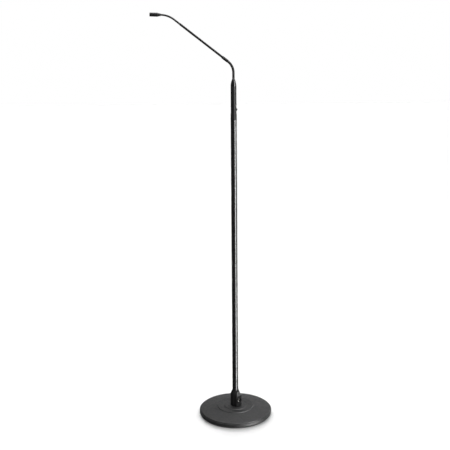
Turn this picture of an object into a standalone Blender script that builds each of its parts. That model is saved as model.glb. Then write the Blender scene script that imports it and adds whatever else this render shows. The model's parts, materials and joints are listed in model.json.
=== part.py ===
"""A floor-standing microphone stand with its gooseneck microphone plugged in.

A round cast-iron base carries a connector housing, the housing holds a steel pole, and the
pole ends in a three-pole socket with a push latch. The microphone's plug stands in that
socket; above it come a lower gooseneck, a rigid tube, an upper gooseneck and the capsule.

Frame: the origin is on the floor on the pole's axis, +Z is up, and the arm leans towards -X.
Lengths are in millimetres, and every mesh is scaled by MM into metres as it is made.
"""

import math

import bmesh
import bpy
from mathutils import Matrix, Vector

MM = 0.001
GAP = 0.3

# Base
BASE_R = 125.0
RIM_RING_HEIGHT = 6.0
RIM_RING_WIDTH = 8.5
PAD_THICKNESS = 2.4
RIM_UNDERCUT = 4.4
LEDGE_HEIGHT = 15.2
LEDGE_WIDTH = 3.0
SHOULDER_HEIGHT = 18.2
SHOULDER_WIDTH = 7.0
STEP_R = 62.0
STEP_FOOT_HEIGHT = 27.0
STEP_TOP_HEIGHT = 29.2
HUB_R = 39.0
HUB_HEIGHT = 30.0
CASTING_WALL = 8.0
BOSS_R = 20.0
BOSS_BOTTOM = 14.0
BOLT_R = 4.9

# Connector housing and its male outlet, which faces OUTLET_AZIMUTH degrees from -Y towards +X
HOUSING_BOTTOM = HUB_HEIGHT + GAP
HOUSING_TOP = 87.0
HOUSING_R = 17.4
HOUSING_NECK_R = 10.9
HOUSING_KNEE = 71.5
SNOUT_REACH = 19.4
SNOUT_HALF_WIDTH = 12.6
SNOUT_TOP = 68.0
SNOUT_NECK_REACH = 12.2
SNOUT_NECK_HALF_WIDTH = 4.5
SNOUT_CORNER_R = 3.0
OUTLET_AZIMUTH = 42.0
OUTLET_HEIGHT = 51.2
FOOT_HEIGHT = 3.5
FOOT_INSET = 2.4
BOLT_HOLE_TOP = 38.6

# Three-pole audio connector: metal shell, nose and contact circle
SHELL_R = 9.4
RECESS_R = 8.2
RECESS_DEPTH = 14.0
FLANGE_R = 10.8
FLANGE_FACE = 20.6
FACE_GAP = 0.5
CONTACT_CIRCLE_R = 4.5
CONTACT_ANGLES = (180.0, 75.0, -75.0)
PIN_R = 1.15

# Pole
POLE_R = 10.0
POLE_WALL = 1.5
POLE_BOTTOM = 61.4
POLE_TOP = 1024.6

# Collar and socket on the pole
COLLAR_TOP = 1044.5
SOCKET_R = 9.2
SOCKET_TOP = 1063.8
NOSE_R = 7.9
NOSE_TOP = 1077.8
SOCKET_BORE_R = 6.6
LATCH_HALF_WIDTH = 2.4
LATCH_PIVOT = (7.0, 1050.8)

# Microphone plug
PLUG_R = 9.3
PLUG_BOTTOM = 1064.1
PLUG_TOP = 1131.6
NECK_TOP = 1154.0

# Microphone arm, measured along its centreline from the top of the neck
LOWER_STRAIGHT = 20.8
LOWER_BEND_R = 44.0
LOWER_BEND_DEG = 52.16
FERRULE_LENGTH = 23.8
TUBE_LENGTH = 167.9
UPPER_STRAIGHT = 21.6
UPPER_BEND_R = 72.0
UPPER_BEND_DEG = 35.74
HEAD_LENGTH = 35.3
LOWER_NECK_R = 4.0
UPPER_NECK_R = 3.0
FERRULE_R = 4.6
TUBE_R = 3.5
HEAD_R = 6.15
HINGES_PER_NECK = 6
LOWER_END_CONE_DEG = 10.0
UPPER_END_CONE_DEG = 9.0

# Segments round each turned piece
LARGE = 60
MEDIUM = 28
SMALL = 18
TINY = 10


# ---------------------------------------------------------------- helpers


def material(name, color, roughness, metallic=0.0):
    """A Principled material in one colour."""
    mat = bpy.data.materials.new(name)
    mat.use_nodes = True
    shader = mat.node_tree.nodes["Principled BSDF"]
    shader.inputs["Base Color"].default_value = (*color, 1.0)
    shader.inputs["Roughness"].default_value = roughness
    shader.inputs["Metallic"].default_value = metallic
    return mat


def make_object(name, bm, mat, matrix=None, parent=None):
    """One object from a bmesh in metres, placed by a world matrix and carried by an empty."""
    bmesh.ops.recalc_face_normals(bm, faces=bm.faces[:])
    mesh = bpy.data.meshes.new(name)
    bm.to_mesh(mesh)
    bm.free()
    mesh.shade_smooth()
    mesh.set_sharp_from_angle(angle=math.radians(30.0))
    mesh.materials.append(mat)
    obj = bpy.data.objects.new(name, mesh)
    bpy.context.scene.collection.objects.link(obj)
    if parent is not None:
        obj.parent = parent
        obj.matrix_parent_inverse = parent.matrix_world.inverted()
    if matrix is not None:
        obj.matrix_basis = matrix
    return obj


def joint_empty(name, point, parent=None):
    """An empty on a joint's axis; point is in millimetres."""
    empty = bpy.data.objects.new(name, None)
    bpy.context.scene.collection.objects.link(empty)
    if parent is not None:
        empty.parent = parent
        empty.matrix_parent_inverse = parent.matrix_world.inverted()
    empty.matrix_basis = Matrix.Translation(Vector(point) * MM)
    bpy.context.view_layer.update()
    return empty


def turned_bmesh(outline, steps):
    """A closed outline of (radius, height) points, spun once round the Z axis."""
    bm = bmesh.new()
    verts = [bm.verts.new((r * MM, 0.0, z * MM)) for r, z in outline]
    edges = []
    for index in range(len(verts)):
        both_on_axis = outline[index - 1][0] == 0 and outline[index][0] == 0
        if not both_on_axis:
            edges.append(bm.edges.new((verts[index - 1], verts[index])))
    bmesh.ops.spin(
        bm,
        geom=verts + edges,
        cent=(0.0, 0.0, 0.0),
        axis=(0.0, 0.0, 1.0),
        angle=math.tau,
        steps=steps,
        use_merge=True,
    )
    bmesh.ops.remove_doubles(bm, verts=bm.verts[:], dist=1e-6)
    return bm


def turned(name, outline, steps, mat, matrix=None, parent=None):
    """A turned piece."""
    return make_object(name, turned_bmesh(outline, steps), mat, matrix, parent)


def washer_outline(inner, outer, bottom, top):
    """The outline of a plain ring."""
    return [(outer, bottom), (outer, top), (inner, top), (inner, bottom)]


def rod_outline(radius, bottom, top, chamfer=0.0):
    """The outline of a solid rod, its top edge chamfered."""
    if chamfer == 0.0:
        return [(0, bottom), (radius, bottom), (radius, top), (0, top)]
    return [(0, bottom), (radius, bottom), (radius, top - chamfer), (radius - chamfer, top), (0, top)]


def box_bmesh(low, high):
    """A box between two corners in millimetres."""
    bm = bmesh.new()
    bmesh.ops.create_cube(bm, size=1.0)
    low, high = Vector(low), Vector(high)
    for vert in bm.verts:
        share = vert.co + Vector((0.5, 0.5, 0.5))
        vert.co = Vector([(a + (b - a) * t) * MM for a, b, t in zip(low, high, share)])
    return bm


def prism_bmesh(outline, half_depth):
    """An outline of (x, z) points extruded to both sides along Y."""
    bm = bmesh.new()
    verts = [bm.verts.new((x * MM, -half_depth * MM, z * MM)) for x, z in outline]
    face = bm.faces.new(verts)
    extruded = bmesh.ops.extrude_face_region(bm, geom=[face])
    moved = [item for item in extruded["geom"] if isinstance(item, bmesh.types.BMVert)]
    bmesh.ops.translate(bm, verts=moved, vec=(0.0, 2.0 * half_depth * MM, 0.0))
    return bm


def cutter(name, bm, matrix=None):
    """A shape that only cuts or joins: wire in the viewport, absent from renders."""
    obj = make_object(name, bm, MATERIALS["guide"], matrix)
    obj.hide_render = True
    obj.display_type = "WIRE"
    return obj


def combine(obj, other, operation="DIFFERENCE"):
    """An exact Boolean of obj with another object."""
    modifier = obj.modifiers.new(other.name, "BOOLEAN")
    modifier.operation = operation
    modifier.solver = "EXACT"
    modifier.object = other


def outlet_matrix(reach=0.0, side=0.0, height=OUTLET_HEIGHT):
    """A frame whose Z points out of the outlet, X points up and Y points to its side."""
    angle = math.radians(OUTLET_AZIMUTH)
    out = Vector((math.sin(angle), -math.cos(angle), 0.0))
    up = Vector((0.0, 0.0, 1.0))
    across = out.cross(up)
    place = (out * reach + across * side + up * height) * MM
    return Matrix.Translation(place) @ Matrix((up, across, out)).transposed().to_4x4()


def radial_matrix(azimuth, height):
    """A frame on the pole's axis whose Z points outwards at an azimuth from -Y towards +X."""
    angle = math.radians(azimuth)
    out = Vector((math.sin(angle), -math.cos(angle), 0.0))
    return Matrix.Translation(Vector((0.0, 0.0, height * MM))) @ out.to_track_quat("Z", "Y").to_matrix().to_4x4()


def contact_offsets():
    """The three contact centres in the connector's own plane."""
    return [
        (CONTACT_CIRCLE_R * math.cos(math.radians(a)), CONTACT_CIRCLE_R * math.sin(math.radians(a)))
        for a in CONTACT_ANGLES
    ]


# ---------------------------------------------------------------- arm centreline

LOWER_END = LOWER_STRAIGHT + LOWER_BEND_R * math.radians(LOWER_BEND_DEG)
TUBE_START = LOWER_END + FERRULE_LENGTH
TUBE_END = TUBE_START + TUBE_LENGTH
UPPER_END = TUBE_END + UPPER_STRAIGHT + UPPER_BEND_R * math.radians(UPPER_BEND_DEG)
ARM_SECTIONS = (
    (LOWER_STRAIGHT, 0.0),
    (LOWER_END - LOWER_STRAIGHT, LOWER_BEND_DEG),
    (TUBE_END + UPPER_STRAIGHT - LOWER_END, 0.0),
    (UPPER_END - TUBE_END - UPPER_STRAIGHT, UPPER_BEND_DEG),
    (HEAD_LENGTH * 2, 0.0),
)


def arm_frame(s):
    """World frame of the arm's centreline at s, its Z along the arm and its Y along +Y."""
    x, z, heading = 0.0, NECK_TOP, 0.0
    left = s
    for length, turn_deg in ARM_SECTIONS:
        run = left if left < 0 else min(left, length)
        if turn_deg == 0.0:
            x -= run * math.sin(heading)
            z += run * math.cos(heading)
        else:
            radius = length / math.radians(turn_deg)
            after = heading + run / radius
            x -= radius * (math.cos(heading) - math.cos(after))
            z += radius * (math.sin(after) - math.sin(heading))
            heading = after
        left -= run
        if left <= 0:
            break
    return Matrix.Translation(Vector((x, 0.0, z)) * MM) @ Matrix.Rotation(-heading, 4, "Y")


def swept_bmesh(stations, steps):
    """A solid along the arm from (s, radius) stations, whose first or last radius may be 0."""
    bm = bmesh.new()
    rings = []
    for s, radius in stations:
        frame = arm_frame(s)
        if radius == 0:
            rings.append([bm.verts.new(frame.translation)])
            continue
        ring = []
        for step in range(steps):
            angle = math.tau * step / steps
            point = Vector((radius * math.cos(angle), radius * math.sin(angle), 0.0)) * MM
            ring.append(bm.verts.new(frame @ point))
        rings.append(ring)
    for low, high in zip(rings, rings[1:]):
        for step in range(steps):
            after = (step + 1) % steps
            if len(low) == 1:
                bm.faces.new((low[0], high[after], high[step]))
            elif len(high) == 1:
                bm.faces.new((low[step], low[after], high[0]))
            else:
                bm.faces.new((low[step], low[after], high[after], high[step]))
    for ring in (rings[0], rings[-1]):
        if len(ring) > 1:
            bm.faces.new(ring)
    return bm


# ---------------------------------------------------------------- base


def base_outline():
    """The casting's section: rim, dome, step, hub, and the hollow beneath with its boss."""
    ring_inner = BASE_R - RIM_RING_WIDTH
    rim_bottom = RIM_RING_HEIGHT + GAP
    skirt_bottom = PAD_THICKNESS + GAP
    return [
        (BOLT_R + 0.5, BOSS_BOTTOM),
        (BOSS_R, BOSS_BOTTOM),
        (BOSS_R + 2.0, HUB_HEIGHT - CASTING_WALL),
        (STEP_R, STEP_FOOT_HEIGHT - CASTING_WALL),
        (ring_inner - CASTING_WALL - 1.5, SHOULDER_HEIGHT - CASTING_WALL),
        (ring_inner - CASTING_WALL, skirt_bottom),
        (ring_inner - GAP, skirt_bottom),
        (ring_inner - GAP, rim_bottom),
        (BASE_R - 0.6, rim_bottom),
        (BASE_R, rim_bottom + 0.6),
        (BASE_R, LEDGE_HEIGHT - 1.4),
        (BASE_R - 1.2, LEDGE_HEIGHT),
        (BASE_R - LEDGE_WIDTH, LEDGE_HEIGHT + 0.2),
        (BASE_R - LEDGE_WIDTH - 0.2, SHOULDER_HEIGHT - 1.6),
        (BASE_R - LEDGE_WIDTH - 1.4, SHOULDER_HEIGHT - 0.4),
        (BASE_R - SHOULDER_WIDTH, SHOULDER_HEIGHT),
        (STEP_R + 2.4, STEP_FOOT_HEIGHT),
        (STEP_R + 0.2, STEP_FOOT_HEIGHT + 0.9),
        (STEP_R - 1.8, STEP_TOP_HEIGHT),
        (HUB_R + 0.6, STEP_TOP_HEIGHT + 0.1),
        (HUB_R - 0.6, HUB_HEIGHT),
        (BOLT_R + 0.5, HUB_HEIGHT),
    ]


def build_base():
    """The casting, the rubber round its foot and beneath it, and the bolt with its washers."""
    turned("base_plate", base_outline(), LARGE, MATERIALS["cast_iron"])
    ring_inner = BASE_R - RIM_RING_WIDTH
    ring = [
        (ring_inner, 0.0),
        (BASE_R - RIM_UNDERCUT - 0.4, 0.0),
        (BASE_R - RIM_UNDERCUT, 0.5),
        (BASE_R - 0.8, RIM_RING_HEIGHT - 1.6),
        (BASE_R - 0.4, RIM_RING_HEIGHT - 0.4),
        (BASE_R - 0.8, RIM_RING_HEIGHT),
        (ring_inner, RIM_RING_HEIGHT),
    ]
    turned("rim_ring", ring, LARGE, MATERIALS["rubber"])
    pad = rod_outline(ring_inner - 2 * GAP, 0.0, PAD_THICKNESS)
    turned("floor_pad", pad, LARGE, MATERIALS["rubber"])

    washer_top = BOSS_BOTTOM - GAP
    washer_thickness = 1.7
    turned(
        "base_washer",
        washer_outline(BOLT_R + 0.5, 11.0, washer_top - washer_thickness, washer_top),
        SMALL,
        MATERIALS["zinc"],
    )
    spring_top = washer_top - washer_thickness - GAP
    spring_thickness = 1.6
    turned(
        "spring_washer",
        washer_outline(BOLT_R + 0.5, 8.6, spring_top - spring_thickness, spring_top),
        SMALL,
        MATERIALS["zinc"],
    )
    head_top = spring_top - spring_thickness - GAP
    head_height = 6.4
    bolt = turned(
        "base_bolt",
        rod_outline(BOLT_R, head_top - 1.0, BOLT_HOLE_TOP - 0.6, 0.8),
        SMALL,
        MATERIALS["zinc"],
    )
    head_r = 9.4
    head = cutter("bolt_head", turned_bmesh(rod_outline(head_r, head_top - head_height, head_top), 6))
    combine(bolt, head, "UNION")


# ---------------------------------------------------------------- connector housing


def ramp(value, low, high, at_low, at_high):
    """A value that goes from at_low to at_high as value goes from low to high."""
    share = max(0.0, min(1.0, (value - low) / (high - low)))
    return at_low + (at_high - at_low) * share


def foot_inset(height):
    """How far the housing's rounded foot draws in at a height."""
    foot = ramp(height, HOUSING_BOTTOM, HOUSING_BOTTOM + FOOT_HEIGHT, 0.0, 1.0)
    return FOOT_INSET * (1.0 - math.sqrt(1.0 - (1.0 - foot) ** 2))


def housing_circle(height):
    """Radius of the housing's round body at a height."""
    round_foot = foot_inset(height)
    knee_r = HOUSING_R - 0.4
    body = ramp(height, HOUSING_BOTTOM, HOUSING_KNEE, HOUSING_R, knee_r) - round_foot
    cone = ramp(height, HOUSING_KNEE, HOUSING_TOP, knee_r, HOUSING_NECK_R)
    return min(body, cone)


def rounded_box_ray(angle, reach, half_width, corner):
    """Distance from the centre to a box with rounded front corners, along a ray."""
    c, s = math.cos(angle), abs(math.sin(angle))
    if c <= 0.0:
        return 0.0
    front = reach / c
    if front * s <= half_width - corner:
        return front
    side = half_width / s if s > 0 else front
    if side * c <= reach - corner:
        return side
    middle = Vector((reach - corner, half_width - corner))
    along = middle.x * c + middle.y * s
    return along + math.sqrt(max(0.0, along**2 - middle.length_squared + corner**2))


def housing_radius(angle, height):
    """The housing's outline: a circle with a flat-faced snout at angle 0, filleted together.

    Above its top edge the snout slants back to the neck.
    """
    circle = housing_circle(height)
    inset = foot_inset(height)
    reach = ramp(height, SNOUT_TOP, HOUSING_TOP, SNOUT_REACH, SNOUT_NECK_REACH) - inset
    half_width = ramp(height, SNOUT_TOP, HOUSING_TOP, SNOUT_HALF_WIDTH, SNOUT_NECK_HALF_WIDTH) - inset
    snout = rounded_box_ray(angle, reach, half_width, SNOUT_CORNER_R)
    fillet = 0.35
    return circle + fillet * math.log1p(math.exp((snout - circle) / fillet))


def housing_bmesh():
    """The housing's outer skin, closed at top and bottom."""
    heights = [HOUSING_BOTTOM + h for h in (0.0, 0.5, 1.4, FOOT_HEIGHT)]
    heights += [SNOUT_TOP - 0.8, SNOUT_TOP + 0.8, HOUSING_KNEE - 0.8, HOUSING_KNEE + 0.8]
    heights += [HOUSING_TOP - 0.5, HOUSING_TOP]
    steps = 48
    azimuth = math.radians(OUTLET_AZIMUTH)
    bm = bmesh.new()
    rings = []
    for height in heights:
        top_round = 0.5 if height == HOUSING_TOP else 0.0
        ring = []
        for step in range(steps):
            angle = math.tau * step / steps
            wrapped = (angle + math.pi) % math.tau - math.pi
            radius = housing_radius(wrapped, height) - top_round
            turn = azimuth + angle
            point = Vector((radius * math.sin(turn), -radius * math.cos(turn), height))
            ring.append(bm.verts.new(point * MM))
        rings.append(ring)
    for low, high in zip(rings, rings[1:]):
        for step in range(steps):
            after = (step + 1) % steps
            bm.faces.new((low[step], low[after], high[after], high[step]))
    bm.faces.new(rings[0])
    bm.faces.new(rings[-1])
    return bm


SCREW_AZIMUTHS = (OUTLET_AZIMUTH + 150.0, OUTLET_AZIMUTH + 210.0)
POLE_SCREW_HEIGHT = 76.0
POLE_SCREW_R = 2.5
OUTLET_SCREW_REACH = 13.2
OUTLET_SCREW_R = 1.3
BADGE_LOW = 69.3
BADGE_HIGH = 81.3
BADGE_LOW_HALF_WIDTH = 10.0
BADGE_HIGH_HALF_WIDTH = 6.4
BADGE_THICKNESS = 0.8
BADGE_CORNER_R = 1.8


def build_housing():
    """The housing with its bores, and what is screwed or glued to it."""
    housing = make_object("connector_housing", housing_bmesh(), MATERIALS["housing"])
    pole_bore = turned_bmesh(rod_outline(POLE_R + GAP, POLE_BOTTOM - GAP, HOUSING_TOP + 5.0), MEDIUM)
    combine(housing, cutter("cut_pole_bore", pole_bore))
    cable_way = turned_bmesh(rod_outline(6.0, OUTLET_HEIGHT, POLE_BOTTOM + 1.0), SMALL)
    combine(housing, cutter("cut_cable_way", cable_way))
    outlet_bore = turned_bmesh(rod_outline(SHELL_R + GAP, -3.5, SNOUT_REACH + 5.0), MEDIUM)
    combine(housing, cutter("cut_outlet_bore", outlet_bore, outlet_matrix()))
    bolt_hole = turned_bmesh(rod_outline(BOLT_R + GAP, HOUSING_BOTTOM - 5.0, BOLT_HOLE_TOP), SMALL)
    combine(housing, cutter("cut_bolt_hole", bolt_hole))

    for index, azimuth in enumerate(SCREW_AZIMUTHS, 1):
        place = radial_matrix(azimuth, POLE_SCREW_HEIGHT)
        hole = turned_bmesh(rod_outline(POLE_SCREW_R + GAP, 8.0, 20.0), TINY)
        combine(housing, cutter(f"cut_pole_screw_{index}", hole, place))
        screw = turned(
            f"pole_screw_{index}",
            rod_outline(POLE_SCREW_R, POLE_R + GAP, 13.8, 0.3),
            TINY,
            MATERIALS["black_steel"],
            place,
        )
        socket = turned_bmesh(rod_outline(1.3, 12.0, 15.0), 6)
        combine(screw, cutter(f"cut_screw_socket_{index}", socket, place))

    sideways = outlet_matrix(OUTLET_SCREW_REACH) @ Matrix.Rotation(math.radians(90.0), 4, "X")
    hole = turned_bmesh(rod_outline(OUTLET_SCREW_R + GAP, 7.0, SNOUT_HALF_WIDTH + 3.0), TINY)
    combine(housing, cutter("cut_outlet_screw", hole, sideways))
    turned(
        "outlet_screw",
        rod_outline(OUTLET_SCREW_R, SHELL_R + GAP, SNOUT_HALF_WIDTH - 0.5, 0.2),
        TINY,
        MATERIALS["black_steel"],
        sideways,
    )
    build_badge()


def build_badge():
    """A plain blank plate on the slanted facet above the outlet."""
    def reach(height):
        return ramp(height, SNOUT_TOP, HOUSING_TOP, SNOUT_REACH, SNOUT_NECK_REACH)

    lean = math.atan2(SNOUT_REACH - SNOUT_NECK_REACH, HOUSING_TOP - SNOUT_TOP)
    middle = (BADGE_LOW + BADGE_HIGH) / 2
    place = outlet_matrix(reach(middle) + 1.5 * GAP, 0.0, middle) @ Matrix.Rotation(lean, 4, "Y")
    half_height = (BADGE_HIGH - BADGE_LOW) / 2
    low_corner = (-half_height, -BADGE_LOW_HALF_WIDTH, 0.0)
    high_corner = (half_height, BADGE_LOW_HALF_WIDTH, BADGE_THICKNESS)
    bm = box_bmesh(low_corner, high_corner)
    for vert in bm.verts:
        if vert.co.x > 0.0:
            vert.co.y *= BADGE_HIGH_HALF_WIDTH / BADGE_LOW_HALF_WIDTH
    upright = [edge for edge in bm.edges if abs(edge.verts[0].co.z - edge.verts[1].co.z) > 0.0]
    bmesh.ops.bevel(bm, geom=upright, offset=BADGE_CORNER_R * MM, segments=3, affect="EDGES", profile=0.5)
    make_object("housing_badge", bm, MATERIALS["badge"], place)


def build_outlet():
    """The male outlet: flanged shell, insulator and three pins."""
    bottom = FLANGE_FACE - RECESS_DEPTH - 3.0
    shell = [
        (SHELL_R, bottom),
        (SHELL_R, SNOUT_REACH + FACE_GAP),
        (FLANGE_R, SNOUT_REACH + FACE_GAP),
        (FLANGE_R, FLANGE_FACE - 0.4),
        (FLANGE_R - 0.4, FLANGE_FACE),
        (RECESS_R, FLANGE_FACE),
        (RECESS_R, bottom),
    ]
    turned("outlet_shell", shell, MEDIUM, MATERIALS["black_metal"], outlet_matrix())
    insulator_top = FLANGE_FACE - RECESS_DEPTH
    insulator = turned(
        "outlet_insulator",
        rod_outline(RECESS_R - GAP, bottom, insulator_top),
        MEDIUM,
        MATERIALS["insulator"],
        outlet_matrix(),
    )
    for index, (x, y) in enumerate(contact_offsets(), 1):
        place = outlet_matrix(0.0, -x, OUTLET_HEIGHT + y)
        hole = turned_bmesh(rod_outline(PIN_R + GAP, bottom - 2.0, insulator_top + 2.0), TINY)
        combine(insulator, cutter(f"cut_outlet_pin_{index}", hole, place))
        turned(
            f"outlet_pin_{index}",
            rod_outline(PIN_R, bottom - 1.0, FLANGE_FACE - 2.6, 0.6),
            TINY,
            MATERIALS["pin"],
            place,
        )


# ---------------------------------------------------------------- pole and socket

COLLAR_SCREW_AZIMUTH = 180.0
COLLAR_SCREW_HEIGHT = 1034.6


def build_pole():
    """The pole, the cable inside it with its grommet, and the collar on top."""
    bore = POLE_R - POLE_WALL
    turned(
        "pole_tube",
        washer_outline(bore, POLE_R, POLE_BOTTOM, POLE_TOP),
        MEDIUM,
        MATERIALS["black_steel"],
    )
    grommet = [
        (bore - GAP, POLE_BOTTOM + 0.4),
        (bore - GAP, POLE_BOTTOM + 11.0),
        (bore - 1.3, POLE_BOTTOM + 12.0),
        (3.0, POLE_BOTTOM + 12.0),
        (3.0, POLE_BOTTOM + 0.4),
    ]
    turned("cable_grommet", grommet, SMALL, MATERIALS["rubber"])
    turned("signal_cable", rod_outline(2.5, 57.4, 1034.0), TINY, MATERIALS["cable"])

    spigot_bottom = POLE_TOP - 20.0
    collar_outline = [
        (bore - GAP, spigot_bottom),
        (bore - GAP, POLE_TOP + GAP),
        (POLE_R - 0.3, POLE_TOP + GAP),
        (POLE_R, POLE_TOP + 0.6),
        (POLE_R, COLLAR_TOP - 0.4),
        (POLE_R - 0.4, COLLAR_TOP),
        (7.8, COLLAR_TOP),
        (7.8, POLE_TOP + 5.4),
        (5.2, POLE_TOP + 5.4),
        (5.2, spigot_bottom),
    ]
    collar = turned("top_collar", collar_outline, MEDIUM, MATERIALS["black_metal"])
    place = radial_matrix(COLLAR_SCREW_AZIMUTH, COLLAR_SCREW_HEIGHT)
    hole = turned_bmesh(rod_outline(1.5 + GAP, 6.0, 12.0), TINY)
    combine(collar, cutter("cut_collar_screw", hole, place))
    turned("collar_screw", rod_outline(1.5, 7.9, 9.9, 0.2), TINY, MATERIALS["black_steel"], place)


def build_socket():
    """The female socket: shell with nose, insulator, three contacts and the push latch."""
    spigot_bottom = POLE_TOP + 6.4
    shell_outline = [
        (7.5, spigot_bottom),
        (7.5, COLLAR_TOP + GAP),
        (SOCKET_R - 0.2, COLLAR_TOP + GAP),
        (SOCKET_R, COLLAR_TOP + 0.6),
        (SOCKET_R, SOCKET_TOP - 0.3),
        (SOCKET_R - 0.3, SOCKET_TOP),
        (NOSE_R, SOCKET_TOP),
        (NOSE_R, NOSE_TOP - 0.5),
        (NOSE_R - 0.5, NOSE_TOP),
        (SOCKET_BORE_R, NOSE_TOP),
        (SOCKET_BORE_R, spigot_bottom),
    ]
    shell = turned("socket_shell", shell_outline, MEDIUM, MATERIALS["black_metal"])
    slot_half_width = LATCH_HALF_WIDTH + 0.5
    slot = box_bmesh((5.5, -slot_half_width, 1049.4), (13.0, slot_half_width, 1075.2))
    combine(shell, cutter("cut_latch_slot", slot))

    insulator_bottom = spigot_bottom + 9.0
    insulator = turned(
        "socket_insulator",
        rod_outline(SOCKET_BORE_R - GAP, insulator_bottom, NOSE_TOP - 0.3),
        SMALL,
        MATERIALS["insulator"],
    )
    relief = box_bmesh((3.9, -slot_half_width, 1049.0), (9.0, slot_half_width, 1075.6))
    combine(insulator, cutter("cut_latch_relief", relief))
    sleeve_top = NOSE_TOP - 1.8
    for index, (x, y) in enumerate(contact_offsets(), 1):
        place = Matrix.Translation(Vector((x, y, 0.0)) * MM)
        hole = turned_bmesh(rod_outline(1.9, insulator_bottom - 2.0, NOSE_TOP + 2.0), TINY)
        combine(insulator, cutter(f"cut_contact_{index}", hole, place))
        sleeve = [
            (0, 1036.0),
            (1.1, 1036.0),
            (1.1, 1042.0),
            (1.6, 1042.0),
            (1.6, sleeve_top),
            (1.42, sleeve_top),
            (1.42, 1061.0),
            (0, 1061.0),
        ]
        turned(f"socket_contact_{index}", sleeve, TINY, MATERIALS["pin"], place)

    x, z = LATCH_PIVOT
    joint = joint_empty("joint_latch", (x, 0.0, z))
    inner, outer = 6.3, 7.7
    lever = [
        (inner, 1049.9),
        (8.4, 1049.9),
        (8.9, 1050.6),
        (8.9, 1053.2),
        (10.6, 1054.2),
        (11.7, 1056.0),
        (11.9, 1058.0),
        (11.2, 1060.2),
        (8.9, 1061.6),
        (8.8, 1062.6),
        (outer, 1063.0),
        (outer, 1070.6),
        (7.85, 1071.4),
        (7.85, 1072.8),
        (7.2, 1074.4),
        (inner, 1074.4),
    ]
    latch = make_object("push_latch", prism_bmesh(lever, LATCH_HALF_WIDTH), MATERIALS["latch"], parent=joint)
    edge = latch.modifiers.new("soft_edges", "BEVEL")
    edge.width = 0.25 * MM
    edge.segments = 1
    edge.limit_method = "ANGLE"
    edge.angle_limit = math.radians(60.0)


# ---------------------------------------------------------------- microphone


def build_plug(joint):
    """The microphone's plug: sleeve, insert, pins, screw, amplifier board and neck."""
    sleeve_outline = [
        (PLUG_R - 0.3, PLUG_BOTTOM),
        (PLUG_R, PLUG_BOTTOM + 0.3),
        (PLUG_R, PLUG_TOP - 0.3),
        (PLUG_R - 0.3, PLUG_TOP),
        (RECESS_R, PLUG_TOP),
        (RECESS_R, PLUG_BOTTOM),
    ]
    sleeve = turned("plug_sleeve", sleeve_outline, MEDIUM, MATERIALS["black_metal"], parent=joint)
    insert_bottom = NOSE_TOP + 0.6
    insert_top = insert_bottom + 6.0
    screw_place = radial_matrix(180.0, insert_bottom + 3.2)
    hole = turned_bmesh(rod_outline(1.4, 6.5, 12.0), TINY)
    combine(sleeve, cutter("cut_plug_screw", hole, screw_place))
    turned("plug_screw", rod_outline(1.1, 8.1, 9.2, 0.2), TINY, MATERIALS["black_steel"], screw_place, joint)

    insert = turned(
        "plug_insert",
        rod_outline(RECESS_R - GAP, insert_bottom, insert_top),
        SMALL,
        MATERIALS["insulator"],
        parent=joint,
    )
    upside_down = Matrix.Rotation(math.pi, 4, "X")
    for index, (x, y) in enumerate(contact_offsets(), 1):
        hole = turned_bmesh(rod_outline(PIN_R + GAP, insert_bottom - 2.0, insert_top + 2.0), TINY)
        combine(insert, cutter(f"cut_plug_pin_{index}", hole, Matrix.Translation(Vector((x, y, 0.0)) * MM)))
        turned(
            f"plug_pin_{index}",
            rod_outline(PIN_R, -insert_top - 2.0, -1065.0, 0.5),
            TINY,
            MATERIALS["pin"],
            Matrix.Translation(Vector((x, y, 0.0)) * MM) @ upside_down,
            joint,
        )

    board = make_object(
        "preamp_board",
        box_bmesh((-5.5, -0.8, insert_top + 4.0), (5.5, 0.8, PLUG_TOP - 17.0)),
        MATERIALS["board"],
        parent=joint,
    )
    chip_heights = ((insert_top + 7.0, 6.0), (insert_top + 17.0, 5.0))
    for index, (bottom, height) in enumerate(chip_heights, 1):
        chip = box_bmesh((-3.0, 0.0, bottom), (3.0, 3.4, bottom + height))
        combine(board, cutter(f"board_chip_{index}", chip), "UNION")

    neck_outline = [
        (RECESS_R - GAP, PLUG_TOP - 12.0),
        (RECESS_R - GAP, PLUG_TOP + GAP),
        (PLUG_R - 0.1, PLUG_TOP + GAP),
        (PLUG_R, PLUG_TOP + 0.8),
        (PLUG_R - 0.2, PLUG_TOP + 4.0),
        (PLUG_R - 0.8, PLUG_TOP + 9.0),
        (PLUG_R - 2.2, PLUG_TOP + 15.0),
        (PLUG_R - 3.7, NECK_TOP - 2.2),
        (PLUG_R - 4.4, NECK_TOP - 0.5),
        (PLUG_R - 4.8, NECK_TOP),
        (LOWER_NECK_R + GAP, NECK_TOP),
        (LOWER_NECK_R + GAP, NECK_TOP - 12.0),
        (2.0, NECK_TOP - 13.0),
        (2.0, PLUG_TOP - 12.0),
    ]
    turned("plug_neck", neck_outline, MEDIUM, MATERIALS["neck"], parent=joint)


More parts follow.
